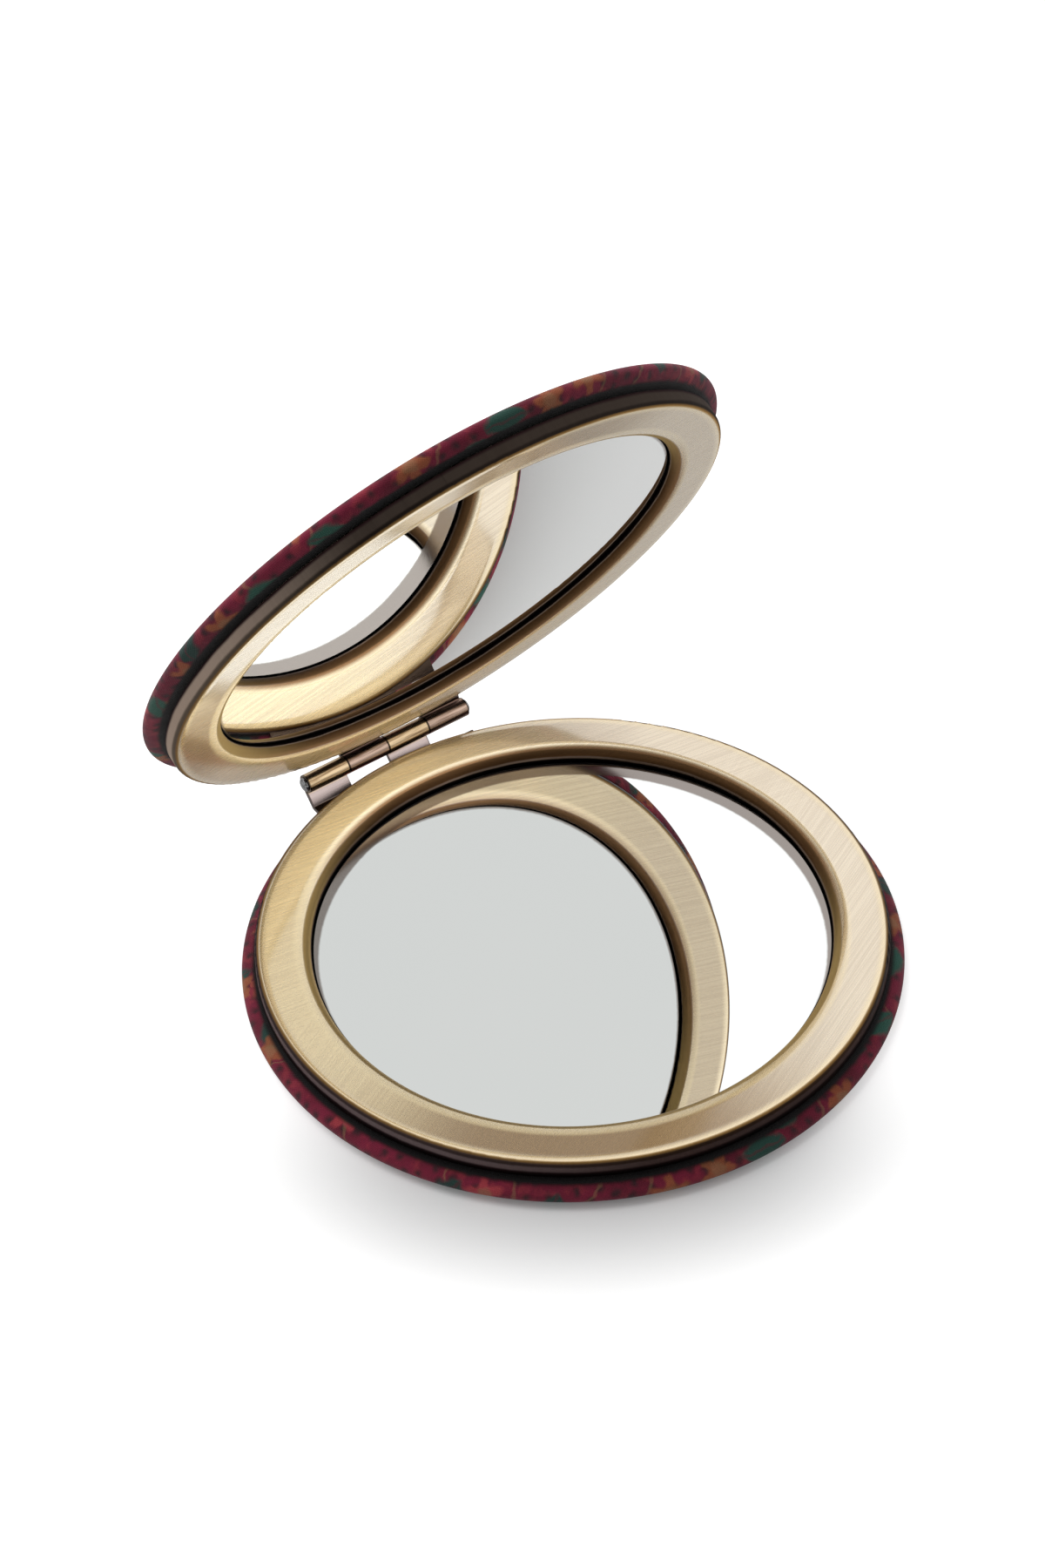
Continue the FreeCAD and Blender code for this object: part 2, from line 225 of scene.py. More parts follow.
def turned_piece(name, points, half, smooth=True):
    """A closed piece turned about its axis, from a grid of rings by angles by 3 in its half's own frame.

    The first and last rings lie on the axis and close into one point each; the seam closes on itself.
    """
    rings, angles = points.shape[0] - 2, points.shape[1]
    body = points[1:-1].reshape(-1, 3)
    corners = np.vstack([body, points[0, :1], points[-1, :1]])
    ring, angle = np.meshgrid(np.arange(rings - 1), np.arange(angles), indexing="ij")
    after = (angle + 1) % angles
    quads = np.stack([ring * angles + angle, ring * angles + after,
                      (ring + 1) * angles + after, (ring + 1) * angles + angle], axis=-1).reshape(-1, 4)
    step = np.arange(angles)
    step_after = (step + 1) % angles
    first = np.stack([np.full(angles, len(body)), step_after, step], axis=-1)
    last_ring = (rings - 1) * angles
    last = np.stack([np.full(angles, len(body) + 1), last_ring + step, last_ring + step_after], axis=-1)
    faces = [*quads.tolist(), *first.tolist(), *last.tolist()]
    mesh = bpy.data.meshes.new(name)
    mesh.from_pydata(set_in_place(corners, half).tolist(), [], faces)
    mesh.polygons.foreach_set("use_smooth", np.full(len(faces), smooth))
    mesh.update()
    piece = bpy.data.objects.new(name, mesh)
    bpy.context.scene.collection.objects.link(piece)
    return piece


def cover_profile():
    """Radius and height along the cover's section, from the middle of its outside to that of its inside.

    The outside is a flat round that falls away a little towards a nose; the nose is a superellipse about
    mid-thickness. The turned-in border runs back to its cut edge, and the inside follows the board's edge.
    """
    middle = COVER_THICKNESS / 2
    nose_start = COVER_RADIUS - NOSE_OUTSIDE
    out = nose_start * np.sin(np.linspace(0.0, math.pi / 2, FLAT_RINGS))
    fall = CROWN_DROP * np.clip((out - nose_start + CROWN_WIDTH) / CROWN_WIDTH, 0.0, 1.0) ** 2
    turn = np.linspace(-math.pi / 2, math.pi / 2, NOSE_RINGS + 1)[1:]
    outside = turn < 0
    square = np.where(outside, SQUARE_OUTSIDE, SQUARE_TURNED_IN)
    deep = np.where(outside, NOSE_OUTSIDE, NOSE_TURNED_IN)
    nose_radius = COVER_RADIUS - deep * (1.0 - np.abs(np.cos(turn)) ** square)
    swell = np.abs(np.sin(turn)) ** square
    nose_height = np.where(outside, middle - (middle - CROWN_DROP) * swell, middle + middle * swell)
    border = np.linspace(COVER_RADIUS - NOSE_TURNED_IN, TURN_IN_RADIUS, BORDER_RINGS + 1)[1:]
    bend = np.linspace(math.pi / 2, 0.0, BEND_RINGS)
    bend_radius = BOARD_HIGH.x + BOARD_ROUNDING * (np.cos(bend) - 1.0)
    bend_height = BOARD_HIGH.z + BOARD_ROUNDING * (np.sin(bend) - 1.0)
    radius = np.concatenate([out, nose_radius, border, [TURN_IN_RADIUS], bend_radius, [BOARD_HIGH.x, 0.0]])
    height = np.concatenate([fall, nose_height, np.full(BORDER_RINGS, COVER_THICKNESS), [BOARD_HIGH.z],
                             bend_height, [BOARD_LOW.z, BOARD_LOW.z]])
    return radius, height


def cover_grid(half):
    """The cover's section carried round its axis, with faint puckers where cloth is drawn over the edge.

    The puckers are waves of the angle whose counts share no factor, strongest on the nose's turned-in side.
    """
    radius, height = cover_profile()
    angle = np.linspace(0.0, 2 * math.pi, AROUND, endpoint=False)
    waves = np.sin(np.outer(PUCKER_COUNTS, angle) + PUCKER_STARTS[half][:, None])
    hollow = 1.0 + waves.mean(axis=0)
    turned_in = height > COVER_THICKNESS / 2
    drawn = np.exp(-((radius - COVER_RADIUS + PUCKER_INSET) / PUCKER_REACH) ** 2) * turned_in
    puckers = 1.0 - PUCKER_HEIGHT / COVER_THICKNESS * np.outer(drawn, hollow)
    return carried_round(radius, height[:, None] * puckers)


def way_along(radius, height):
    """The way along a section from its start, in millimetres: the lengths of its steps added up."""
    return np.concatenate([[0.0], np.cumsum(np.hypot(np.diff(radius), np.diff(height)))])


def lay_cloth(piece, points):
    """Give the cover the cloth's flat places in millimetres: the way from the middle, at the same angle."""
    way = way_along(*cover_profile())
    angle = np.arctan2(points[2, :, 1], points[2, :, 0])
    flat = way[1:-1, None, None] * np.stack([np.cos(angle), np.sin(angle)], axis=-1)
    corners = np.vstack([flat.reshape(-1, 2), np.zeros((1, 2)), way[-1] * np.array([[1.0, 0.0]])])
    loops = np.zeros(len(piece.data.loops), dtype=np.int32)
    piece.data.loops.foreach_get("vertex_index", loops)
    layer = piece.data.uv_layers.new(name="cloth")
    layer.data.foreach_set("uv", corners[loops].astype(np.float32).ravel())


def way_to_shade():
    """The way along the cloth to where it turns in under the frame and out of the light."""
    radius, height = cover_profile()
    nose = int(np.argmax(radius))
    turned_in = slice(nose, nose + NOSE_RINGS // 2 + BORDER_RINGS)
    return float(np.interp(-SHADED_RADIUS, -radius[turned_in], way_along(radius, height)[turned_in]))


BURGUNDY = paint(138, 32, 62)
BURGUNDY_DEEP = paint(108, 24, 46)
DOT_DARK = paint(44, 30, 34)
LEAF_GREEN = paint(48, 96, 82)
LEAF_DEEP = paint(36, 66, 60)
BLOSSOM_ORANGE = paint(176, 100, 62)
BLOSSOM_ROSE = paint(190, 70, 78)
STEM_TAN = paint(172, 138, 98)
SHADE_DARK = paint(20, 8, 10)
SHADE_BLACK = paint(9, 5, 6)
THREAD_PITCH = 0.3
THREAD_DEPTH = 0.03
DOT_PITCH = 1.9
DOT_RADIUS = 0.4
DOT_SHARE = 0.85
STEM_EDGE = (0.012, 0.003)
STEM_SHARE = 0.3
LEAF_SPACING = 7.6
LEAF_SHIFT = (3.1, 8.7, 0.0)
LEAF_LENGTH = 5.8
LEAF_WIDTH = 3.0
RIB_EDGE = (0.26, 0.08)
RIB_SHARE = 0.4
BLOSSOM_SPACING = 8.4
BLOSSOM_SHIFT = (14.3, 2.9, 0.0)
BLOSSOM_RADIUS = 2.2
BLOSSOM_SHARE = 0.8
PETALS = 5.0
PETAL_WAVE = 0.24
HEART_EDGE = (1.1, 0.5)
HEART_SHARE = 0.5
SOFT_EDGE = 0.8
RAGGED = 0.8
FADED_SHARE = 0.4


def scattered(cloth, flat, spacing, shift):
    """Motifs scattered about one spacing apart: places along and across each motif, and its chance number.

    The places are measured from the motif's middle and turned by chance.
    """
    moved = cloth.vector("ADD", flat, shift)
    cells = {"Vector": moved, "Scale": 1.0 / spacing, "Randomness": 0.8}
    middle = cloth.node("TexVoronoi", cells, output="Position", voronoi_dimensions="2D")
    chances = cloth.node("SeparateColor", {"Color": middle.node.outputs["Color"]})
    from_middle = cloth.vector("SUBTRACT", moved, middle)
    turn = {"Vector": from_middle, "Angle": cloth.sum("MULTIPLY", chances, 2 * math.pi)}
    along = cloth.node("SeparateXYZ", {"Vector": cloth.node("VectorRotate", turn, rotation_type="Z_AXIS")})
    return along, along.node.outputs["Y"], chances.node.outputs["Green"]


def inside_edge(cloth, depth):
    """1 inside a printed shape and 0 outside it, for the depth inside its edge, which is soft."""
    return cloth.rise(depth, -SOFT_EDGE / 2, SOFT_EDGE / 2)


def dotted(cloth, inked, colour):
    """Lay small dark dots over the colour, at nearly even spacing."""
    dots = {"Vector": inked, "Scale": 1.0 / DOT_PITCH, "Randomness": 0.35}
    from_dot = cloth.node("TexVoronoi", dots, output="Distance", voronoi_dimensions="2D")
    outer, inner = DOT_RADIUS + SOFT_EDGE / 2, DOT_RADIUS - SOFT_EDGE / 2
    dot = cloth.rise(from_dot, outer / DOT_PITCH, inner / DOT_PITCH)
    return cloth.mix(cloth.sum("MULTIPLY", dot, DOT_SHARE), colour, DOT_DARK)


def stemmed(cloth, inked, colour):
    """Lay thin winding stems over the colour, along the line where a slow noise is one half."""
    wander = cloth.noise(inked, scale=0.075, detail=0.0)
    off_line = cloth.sum("ABSOLUTE", cloth.sum("SUBTRACT", wander, 0.5))
    stem = cloth.rise(off_line, *STEM_EDGE)
    return cloth.mix(cloth.sum("MULTIPLY", stem, STEM_SHARE), colour, STEM_TAN)


def leafy(cloth, inked, colour):
    """Lay pointed leaves over the colour; a leaf's half width falls as the square of the way along it."""
    along, across, chance = scattered(cloth, inked, LEAF_SPACING, LEAF_SHIFT)
    share = cloth.sum("DIVIDE", along, LEAF_LENGTH / 2)
    narrowing = cloth.sum("SUBTRACT", 1.0, cloth.sum("MULTIPLY", share, share))
    off_rib = cloth.sum("ABSOLUTE", across)
    half_width = cloth.sum("MULTIPLY", narrowing, LEAF_WIDTH / 2)
    leaf = inside_edge(cloth, cloth.sum("SUBTRACT", half_width, off_rib))
    green = cloth.mix(cloth.rise(chance, 0.4, 0.6), LEAF_GREEN, LEAF_DEEP)
    rib = cloth.sum("MULTIPLY", cloth.rise(off_rib, *RIB_EDGE), RIB_SHARE)
    return cloth.mix(leaf, colour, cloth.mix(rib, green, BURGUNDY_DEEP))


def blossoming(cloth, inked, colour):
    """Lay round blossoms over the colour; their edge is a cosine of the angle, one wave to a petal."""
    along, across, chance = scattered(cloth, inked, BLOSSOM_SPACING, BLOSSOM_SHIFT)
    petals = cloth.sum("COSINE", cloth.sum("MULTIPLY", cloth.sum("ARCTAN2", across, along), PETALS))
    edge = cloth.sum("MULTIPLY_ADD", petals, BLOSSOM_RADIUS * PETAL_WAVE, BLOSSOM_RADIUS * (1.0 - PETAL_WAVE))
    squares = cloth.sum("ADD", cloth.sum("MULTIPLY", along, along), cloth.sum("MULTIPLY", across, across))
    away = cloth.sum("SQRT", squares)
    blossom = inside_edge(cloth, cloth.sum("SUBTRACT", edge, away))
    petal = cloth.mix(cloth.rise(chance, 0.55, 0.6), BLOSSOM_ORANGE, BLOSSOM_ROSE)
    heart = cloth.sum("MULTIPLY", cloth.rise(away, *HEART_EDGE), HEART_SHARE)
    petal = cloth.mix(heart, petal, STEM_TAN)
    return cloth.mix(cloth.sum("MULTIPLY", blossom, BLOSSOM_SHARE), colour, petal)


def plain_weave(cloth, flat):
    """Threads over and under each other, from 0 to 1: the product of a sine across and a sine along."""
    pitch = 2 * math.pi / THREAD_PITCH
    warp = cloth.node("SeparateXYZ", {"Vector": cloth.vector("MULTIPLY", flat, (pitch, pitch, 0.0))})
    threads = cloth.sum("MULTIPLY", cloth.sum("SINE", warp), cloth.sum("SINE", warp.node.outputs["Y"]))
    return cloth.sum("MULTIPLY_ADD", threads, 0.5, 0.5)


def printed_cloth():
    """Cotton with a small scattered print of dots, stems, leaves and blossoms, and painted shade where it
    turns in.
    """
    cloth = Finish("printed_cloth")
    flat = cloth.node("UVMap", {}, uv_map="cloth")
    ragged = cloth.node("TexNoise", {"Vector": flat, "Scale": 0.9, "Detail": 1.0}, output="Color")
    ragged = cloth.vector("SUBTRACT", ragged, (0.5, 0.5, 0.5))
    inked = cloth.vector("ADD", flat, cloth.vector("MULTIPLY", ragged, (RAGGED, RAGGED, 0.0)))
    shade = cloth.noise(flat, scale=0.16, detail=4.0)
    colour = cloth.mix(cloth.rise(shade, 0.35, 0.65), BURGUNDY, BURGUNDY_DEEP)
    faded = cloth.rise(cloth.noise(flat, scale=0.4), 0.5, 0.7)
    colour = cloth.mix(cloth.sum("MULTIPLY", faded, FADED_SHARE), colour, BLOSSOM_ROSE)
    for motifs in (dotted, stemmed, leafy, blossoming):
        colour = motifs(cloth, inked, colour)

    weave = plain_weave(cloth, flat)
    fuzz = cloth.noise(flat, scale=5.0, detail=2.0)
    # Painted shade darkens the hollows between the threads; the fuzz varies the tone at random.
    painted_light_and_tone = cloth.sum("ADD", cloth.sum("MULTIPLY", weave, 0.22), cloth.sum("MULTIPLY", fuzz, 0.5))
    colour = cloth.mix(cloth.between(painted_light_and_tone, 0.35, 0.0), colour, SHADE_DARK)
    # Painted shade: the cloth turns black where it goes in under the frame, out of the light.
    shaded_from = way_to_shade()
    shaded = cloth.rise(cloth.measure("LENGTH", flat), shaded_from - 0.25, shaded_from + 0.35)
    return cloth.coat(
        Base_Color=cloth.mix(shaded, colour, SHADE_BLACK),
        Roughness=cloth.between(fuzz, 0.78, 0.95),
        Specular_IOR_Level=0.25,
        Sheen_Weight=0.15,
        Sheen_Roughness=0.5,
        Normal=cloth.relief(cloth.sum("ADD", weave, fuzz), THREAD_DEPTH),
    )


cotton = printed_cloth()
for half in ("base", "lid"):
    grid = cover_grid(half)
    cover = turned_piece(f"{half}_cover", grid, half)
    lay_cloth(cover, grid)
    cover.data.materials.append(cotton)
    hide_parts(f"{half}_cover_cloth", f"{half}_cover_foam")
    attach(cover, half)


# Frames. Each is one brass casting, darkened all over, then brushed bright on its flat face.
# The dark stays in the groove, on the side wall and down the lip, partly patina and partly painted shade; the
# edges are rubbed bright, and painted highlights add to that.
# It is glued to the cover, and its floor carries the mirror.
FRAME_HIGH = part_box("base_frame")[1] * MM
FACE_HEIGHT = FRAME_HIGH.z
LIP_RADIUS = 28.5
LIP_ROUNDING = 1.0
SHOULDER_ROUNDING = 0.6
SHOULDER_RADIUS = FRAME_HIGH.x - SHOULDER_ROUNDING
FACE_MIDDLE = (LIP_RADIUS + SHOULDER_RADIUS) / 2
LIP_WAY = math.pi / 2 * LIP_ROUNDING
SIDE_WAY = math.pi / 2 * SHOULDER_ROUNDING + FACE_HEIGHT - SHOULDER_ROUNDING - COVER_THICKNESS
INNER_BORDER = 1.1
INNER_LEAN = {"base": 0.65, "lid": 0.4}
OUTER_BORDER = 0.7
OUTER_LEAN = 0.2
BRASS = paint(220, 198, 160)
BRASS_STREAK = paint(190, 162, 116)
BRASS_GOLD_HIGHLIGHT = paint(253, 229, 174)
BRASS_PALE_REFLECTION = paint(236, 220, 194)
BRASS_BROWN = paint(146, 112, 66)
BRASS_PATCH_SHADE = paint(144, 110, 68)
LIP_LIT_OLIVE = paint(166, 140, 90)
LIP_TAN = paint(150, 114, 80)
LIP_BROWN = paint(108, 80, 52)
LIP_UMBER = paint(92, 66, 42)
LIP_DEEP = paint(80, 56, 34)
LIP_PALE_HIGHLIGHT = paint(124, 106, 92)
SIDE_LOW = paint(40, 26, 27)
GROOVE_BLACK = paint(14, 9, 8)
# The lip's shades: brown that is partly patina and partly painted shade, a painted pale highlight line, then
# painted black shade at its foot.
LIP_SHADES = [(0.0, LIP_TAN), (0.17, LIP_BROWN), (0.33, LIP_UMBER), (0.5, LIP_DEEP), (0.62, LIP_DEEP),
              (0.7, LIP_PALE_HIGHLIGHT), (0.78, LIP_PALE_HIGHLIGHT), (0.85, GROOVE_BLACK)]
LIP_SHADE_TOWARDS = {"base": (0.7, 0.7, 0.0), "lid": (-0.6, 0.8, 0.0)}
LIP_DARK_DEPTH = {"base": 1.0, "lid": 2.2}
LIP_SHADE_WIDTH = {"base": 0.7, "lid": 0.9}
LIP_SHADE_SHARE = {"base": 1.0, "lid": 0.6}
EDGE_HIGHLIGHT_SHARE = 0.5
UNEVEN = 0.3
SideTones = namedtuple("SideTones", "dark sheen")
SIDE_DIM = {"base": SideTones(paint(50, 35, 27), paint(92, 74, 70)),
            "lid": SideTones(paint(40, 33, 29), paint(62, 53, 47))}
SIDE_LIT = {"base": SideTones(paint(70, 56, 54), paint(140, 124, 124)),
            "lid": SideTones(paint(96, 84, 73), paint(160, 142, 128))}
SIDE_LIT_TOWARDS = {"base": (-1.0, 0.0, 0.0), "lid": (0.98, 0.2, 0.0)}
SIDE_SHEEN_END = {"base": 0.5, "lid": 0.64}
Patch = namedtuple("Patch", "degrees reach share colour lacquer_lost")
PATCH_FADE = (2.5, 1.2)
# The face's patches are painted light: pale and gold ones are painted reflections of a bright backdrop, dark
# ones painted shade.
PATCHES = {
    "base": [Patch(-122.0, 58.0, 0.8, BRASS_PATCH_SHADE, 0.6), Patch(152.0, 65.0, 0.9, BRASS_GOLD_HIGHLIGHT, 0.0),
             Patch(112.0, 50.0, 0.9, BRASS_GOLD_HIGHLIGHT, 0.0), Patch(30.0, 65.0, 0.6, BRASS_PALE_REFLECTION, 0.0),
             Patch(-40.0, 60.0, 0.6, BRASS_PALE_REFLECTION, 0.0)],
    "lid": [Patch(14.0, 28.0, 0.75, BRASS_PATCH_SHADE, 0.4), Patch(-100.0, 35.0, 0.45, BRASS_PATCH_SHADE, 0.4),
            Patch(100.0, 60.0, 0.5, BRASS_GOLD_HIGHLIGHT, 0.2)],
}
BRUSH_SWING = (-12.0, 22.0)
BRUSH_TURN = {"base": (-8.0, 28.0), "lid": (14.0, 14.0)}
BRUSH_FINE = 5.5
BRUSH_LONG = 0.06
BRUSH_DEPTH = 0.0006
LINE_SHARE_FRONT, LINE_SHARE_HINGE = 0.5, 0.56
LINE_BROWN = 0.5
Edge = namedtuple("Edge", "sideways upwards way")


def shades(finish, value, stops):
    """A colour along a value from 0 to 1, through the stops' places and colours."""
    made = finish.node("ValToRGB", {"Fac": value})
    ramp = made.node.color_ramp
    while len(ramp.elements) < len(stops):
        ramp.elements.new(0.5)
    for element, (place, colour) in zip(ramp.elements, stops):
        element.position = place
        element.color = colour
    return made


class Casting(Finish):
    """The brass of one half's frame: a finish that knows its places on the casting."""

    def __init__(self, half):
        super().__init__(f"antique_brass_{half}")
        self.half = half
        self.place = half_mm(self, half)
        flat = self.vector("MULTIPLY", self.place, (1.0, 1.0, 0.0))
        self.radius = self.measure("LENGTH", flat)
        self.outward = self.vector("NORMALIZE", flat)
        axes = self.node("SeparateXYZ", {"Vector": self.place}).node.outputs
        self.height = axes["Z"]
        self.outer = self.rise(self.radius, FACE_MIDDLE - 0.5, FACE_MIDDLE + 0.5)
        self.towards_hinge = self.rise(axes["Y"], *BRUSH_SWING)
        # The side of the face where the lip is painted shaded.
        self.shaded_side = self.rise(self.facing(LIP_SHADE_TOWARDS[half]), -0.1, 0.6)
        self.cloud = self.noise(self.place, scale=0.14)
        self.brush = self.brushing()

    def facing(self, towards):
        """How far a place lies towards a direction in the face, from 1 to -1."""
        return self.measure("DOT_PRODUCT", self.outward, towards)

    def to_world(self, direction):
        """A direction of the half's own frame as a direction in the world."""
        if self.half == "lid":
            turned = {"Vector": direction, "Rotation": LID_TO_HALF.transposed().to_euler()}
            direction = self.node("Mapping", turned, vector_type="VECTOR")
        return self.node("VectorTransform", {"Vector": direction}, vector_type="VECTOR",
                         convert_from="OBJECT", convert_to="WORLD")

    def brushing(self):
        """Fine brush lines, from 0 to 1: noise drawn out one way at the hinge and another at the front."""
        lines = []
        for degrees in BRUSH_TURN[self.half]:
            turn = {"Vector": self.place, "Rotation": (0.0, 0.0, math.radians(-degrees))}
            stretch = {"Vector": self.node("Mapping", turn), "Scale": (BRUSH_LONG, BRUSH_FINE, BRUSH_LONG)}
            lines.append(self.noise(self.node("Mapping", stretch), scale=1.0, roughness=0.7))
        at_hinge, at_front = lines
        return self.blend(self.towards_hinge, at_front, at_hinge)

    def across_brush(self):
        """The direction in the face square to the brush lines, along which their shine spreads."""
        hinge_turn, front_turn = (math.radians(turn) for turn in BRUSH_TURN[self.half])
        turn = self.between(self.towards_hinge, front_turn, hinge_turn)
        sideways = self.sum("MULTIPLY", self.sum("SINE", turn), -1.0)
        return self.to_world(self.node("CombineXYZ", {"X": sideways, "Y": self.sum("COSINE", turn)}))

    def patched(self, colour):
        """The colour with the half's patches of painted reflection and shade over it, and how much lacquer is
        left, from 1 to 0.

        Each patch fades from its share at its angle to 0 at its reach, and towards the face's edges.
        """
        lacquer = 1.0
        off_middle = self.sum("ABSOLUTE", self.sum("SUBTRACT", self.radius, FACE_MIDDLE))
        middle = self.rise(off_middle, *PATCH_FADE)
        for patch in PATCHES[self.half]:
            angle = math.radians(patch.degrees)
            near = self.facing((math.cos(angle), math.sin(angle), 0.0))
            painted_light_and_tone = self.sum("MULTIPLY", self.rise(near, math.cos(math.radians(patch.reach)), 1.0), middle)
            colour = self.mix(self.sum("MULTIPLY", painted_light_and_tone, patch.share), colour, patch.colour)
            lacquer = self.sum("MULTIPLY", lacquer, self.between(painted_light_and_tone, 1.0, 1.0 - patch.lacquer_lost))
        return colour, lacquer

    def face(self):
        """The face's colour, its lacquer, and how far painted shade browns it towards the shaded side of the
        lip.
        """
        colour = self.mix(self.between(self.cloud, 0.0, 0.2), BRASS, BRASS_STREAK)
        colour, lacquer = self.patched(colour)
        line_share = self.between(self.towards_hinge, LINE_SHARE_FRONT, LINE_SHARE_HINGE)
        lines = self.sum("MULTIPLY", self.rise(self.brush, 0.35, 0.65), line_share)
        colour = self.mix(lines, colour, self.mix(LINE_BROWN, colour, BRASS_BROWN))
        # Painted highlights: gold bands along the face's rounded inner and outer borders.
        inner = self.rise(self.radius, LIP_RADIUS + INNER_BORDER, LIP_RADIUS + INNER_BORDER / 2)
        outer = self.rise(self.radius, SHOULDER_RADIUS - OUTER_BORDER, SHOULDER_RADIUS)
        edge_highlight = self.sum("MULTIPLY", self.sum("MAXIMUM", inner, outer), EDGE_HIGHLIGHT_SHARE)
        colour = self.mix(edge_highlight, colour, BRASS_GOLD_HIGHLIGHT)
        # Painted shade browns the face's inner border on the side where the lip is shaded.
        near_lip = self.rise(self.radius, LIP_RADIUS + LIP_SHADE_WIDTH[self.half], LIP_RADIUS)
        lip_shade = self.sum("MULTIPLY", near_lip, self.shaded_side)
        lip_shade = self.sum("MULTIPLY", lip_shade, LIP_SHADE_SHARE[self.half])
        return self.mix(lip_shade, colour, LIP_TAN), lacquer, lip_shade

    def edge(self, end_radius, rounding, side):
        """One edge of the face: sideways and upward parts of its normal, and the way down in millimetres.

        The edge is a quarter round from the face's end, then upright. The way down is the arc's length from
        the face, then the drop below the arc. side is 1 for the shoulder and -1 for the lip.
        """
        off_face = self.sum("MULTIPLY", self.sum("SUBTRACT", self.radius, end_radius), side / rounding)
        sideways = self.sum("MAXIMUM", off_face, 0.0)
        above = self.sum("DIVIDE", self.sum("SUBTRACT", self.height, FACE_HEIGHT - rounding), rounding)
        upwards = self.sum("MAXIMUM", above, 0.001)
        drop = self.sum("MULTIPLY", self.sum("MINIMUM", above, 0.0), -rounding)
        arc = self.sum("MULTIPLY", self.sum("ARCTAN2", sideways, upwards), rounding)
        return Edge(sideways, upwards, self.sum("ADD", arc, drop))

    def lip(self, way):
        """The lip's colour down to the mirror, painted by side: brown that is partly patina, a painted pale
        highlight line and painted black shade on its shaded side, a lit olive on the other.
        """
        down = self.sum("POWER", self.sum("DIVIDE", way, LIP_WAY), LIP_DARK_DEPTH[self.half])
        bright_side = self.sum("SUBTRACT", 1.0, self.shaded_side)
        olive = self.sum("MULTIPLY", bright_side, self.rise(down, 0.85, 0.6))
        return self.mix(olive, shades(self, down, LIP_SHADES), LIP_LIT_OLIVE)

    def side(self, way):
        """The side's colour down to the cover, in painted lit and dim copies: a rubbed edge with a painted
        highlight, a dark line, a painted sheen and a painted black groove.
        """
        down = self.sum("DIVIDE", way, SIDE_WAY)
        end = SIDE_SHEEN_END[self.half]
        toned = []
        for tones in (SIDE_DIM[self.half], SIDE_LIT[self.half]):
            toned.append(shades(self, down, [
                (0.0, BRASS_GOLD_HIGHLIGHT), (0.04, BRASS_STREAK), (0.1, BRASS_BROWN), (0.19, tones.dark),
                (0.27, tones.dark), (0.36, tones.sheen), (end, tones.sheen), (end + 0.1, SIDE_LOW),
                (end + 0.2, GROOVE_BLACK)]))
        return self.mix(self.rise(self.facing(SIDE_LIT_TOWARDS[self.half]), 0.3, 0.95), *toned)

    def lean(self, start, end, most):
        """How far a border of the face leans: 0 at its start, the most at its end, in a straight line."""
        inputs = {"Value": self.radius, "From Min": start, "From Max": end, "To Max": most}
        return self.node("MapRange", inputs)

    def section_normal(self, lip, shoulder):
        """The normal worked out from the section: up on the face, and leaning more and more down each edge.

        The lean starts on the face's borders, which brushing rounds a little.
        """
        inner = self.lean(LIP_RADIUS + INNER_BORDER, LIP_RADIUS, INNER_LEAN[self.half])
        inner = self.sum("MULTIPLY", inner, self.between(self.shaded_side, 0.3, 1.0))
        outer = self.lean(SHOULDER_RADIUS - OUTER_BORDER, SHOULDER_RADIUS, OUTER_LEAN)
        sideways = self.sum("SUBTRACT", self.sum("ADD", shoulder.sideways, outer),
                            self.sum("ADD", lip.sideways, inner))
        upwards = self.blend(self.outer, lip.upwards, shoulder.upwards)
        leaning = self.node("VectorMath", {0: self.outward, "Scale": sideways}, operation="SCALE")
        normal = self.vector("ADD", leaning, self.node("CombineXYZ", {"Z": upwards}))
        return self.to_world(self.vector("NORMALIZE", normal))


def antique_brass(half):
    """Brushed and lacquered antique brass, whose patina, painted light and shade, and normal follow the way
    down its edges.
    """
    brass = Casting(half)
    lip = brass.edge(LIP_RADIUS, LIP_ROUNDING, side=-1)
    shoulder = brass.edge(SHOULDER_RADIUS, SHOULDER_ROUNDING, side=1)
    way = brass.blend(brass.outer, lip.way, shoulder.way)
    uneven = brass.sum("MULTIPLY_ADD", brass.cloud, UNEVEN, -UNEVEN / 2)
    way = brass.sum("ADD", way, brass.sum("MULTIPLY", uneven, brass.rise(way, 0.4, 1.0)))
    face, lacquer, lip_shade = brass.face()
    below = brass.mix(brass.outer, brass.lip(way), brass.side(way))
    dulled = brass.rise(way, 0.0, 0.25)
    kept = brass.sum("SUBTRACT", 1.0, brass.sum("MAXIMUM", dulled, lip_shade))
    rough = brass.sum("ADD", brass.between(brass.brush, 0.2, 0.34), brass.sum("MULTIPLY", dulled, 0.25))
    normal = brass.relief(brass.brush, BRUSH_DEPTH, Normal=brass.section_normal(lip, shoulder))
    return brass.coat(
        Base_Color=brass.mix(brass.rise(way, 0.0, 0.12), face, below),
        Metallic=1.0,
        Roughness=rough,
        Anisotropic=1.0,
        Tangent=brass.across_brush(),
        Coat_Weight=brass.sum("MULTIPLY", lacquer, kept),
        Coat_Roughness=0.1,
        Coat_IOR=2.7,
        Coat_Normal=normal,
        Normal=normal,
    )


for half in ("base", "lid"):
    dress(f"{half}_frame", antique_brass(half))


# Glue. A thin layer of amber glue holds each cover to its frame, and another each mirror in its recess.
# It is spread by hand, so it is mottled. Both layers are hidden once the half is put together.
GLUE_AMBER = paint(216, 200, 160)
GLUE_PALE = paint(232, 224, 198)
GLUE_DEPTH = 0.03

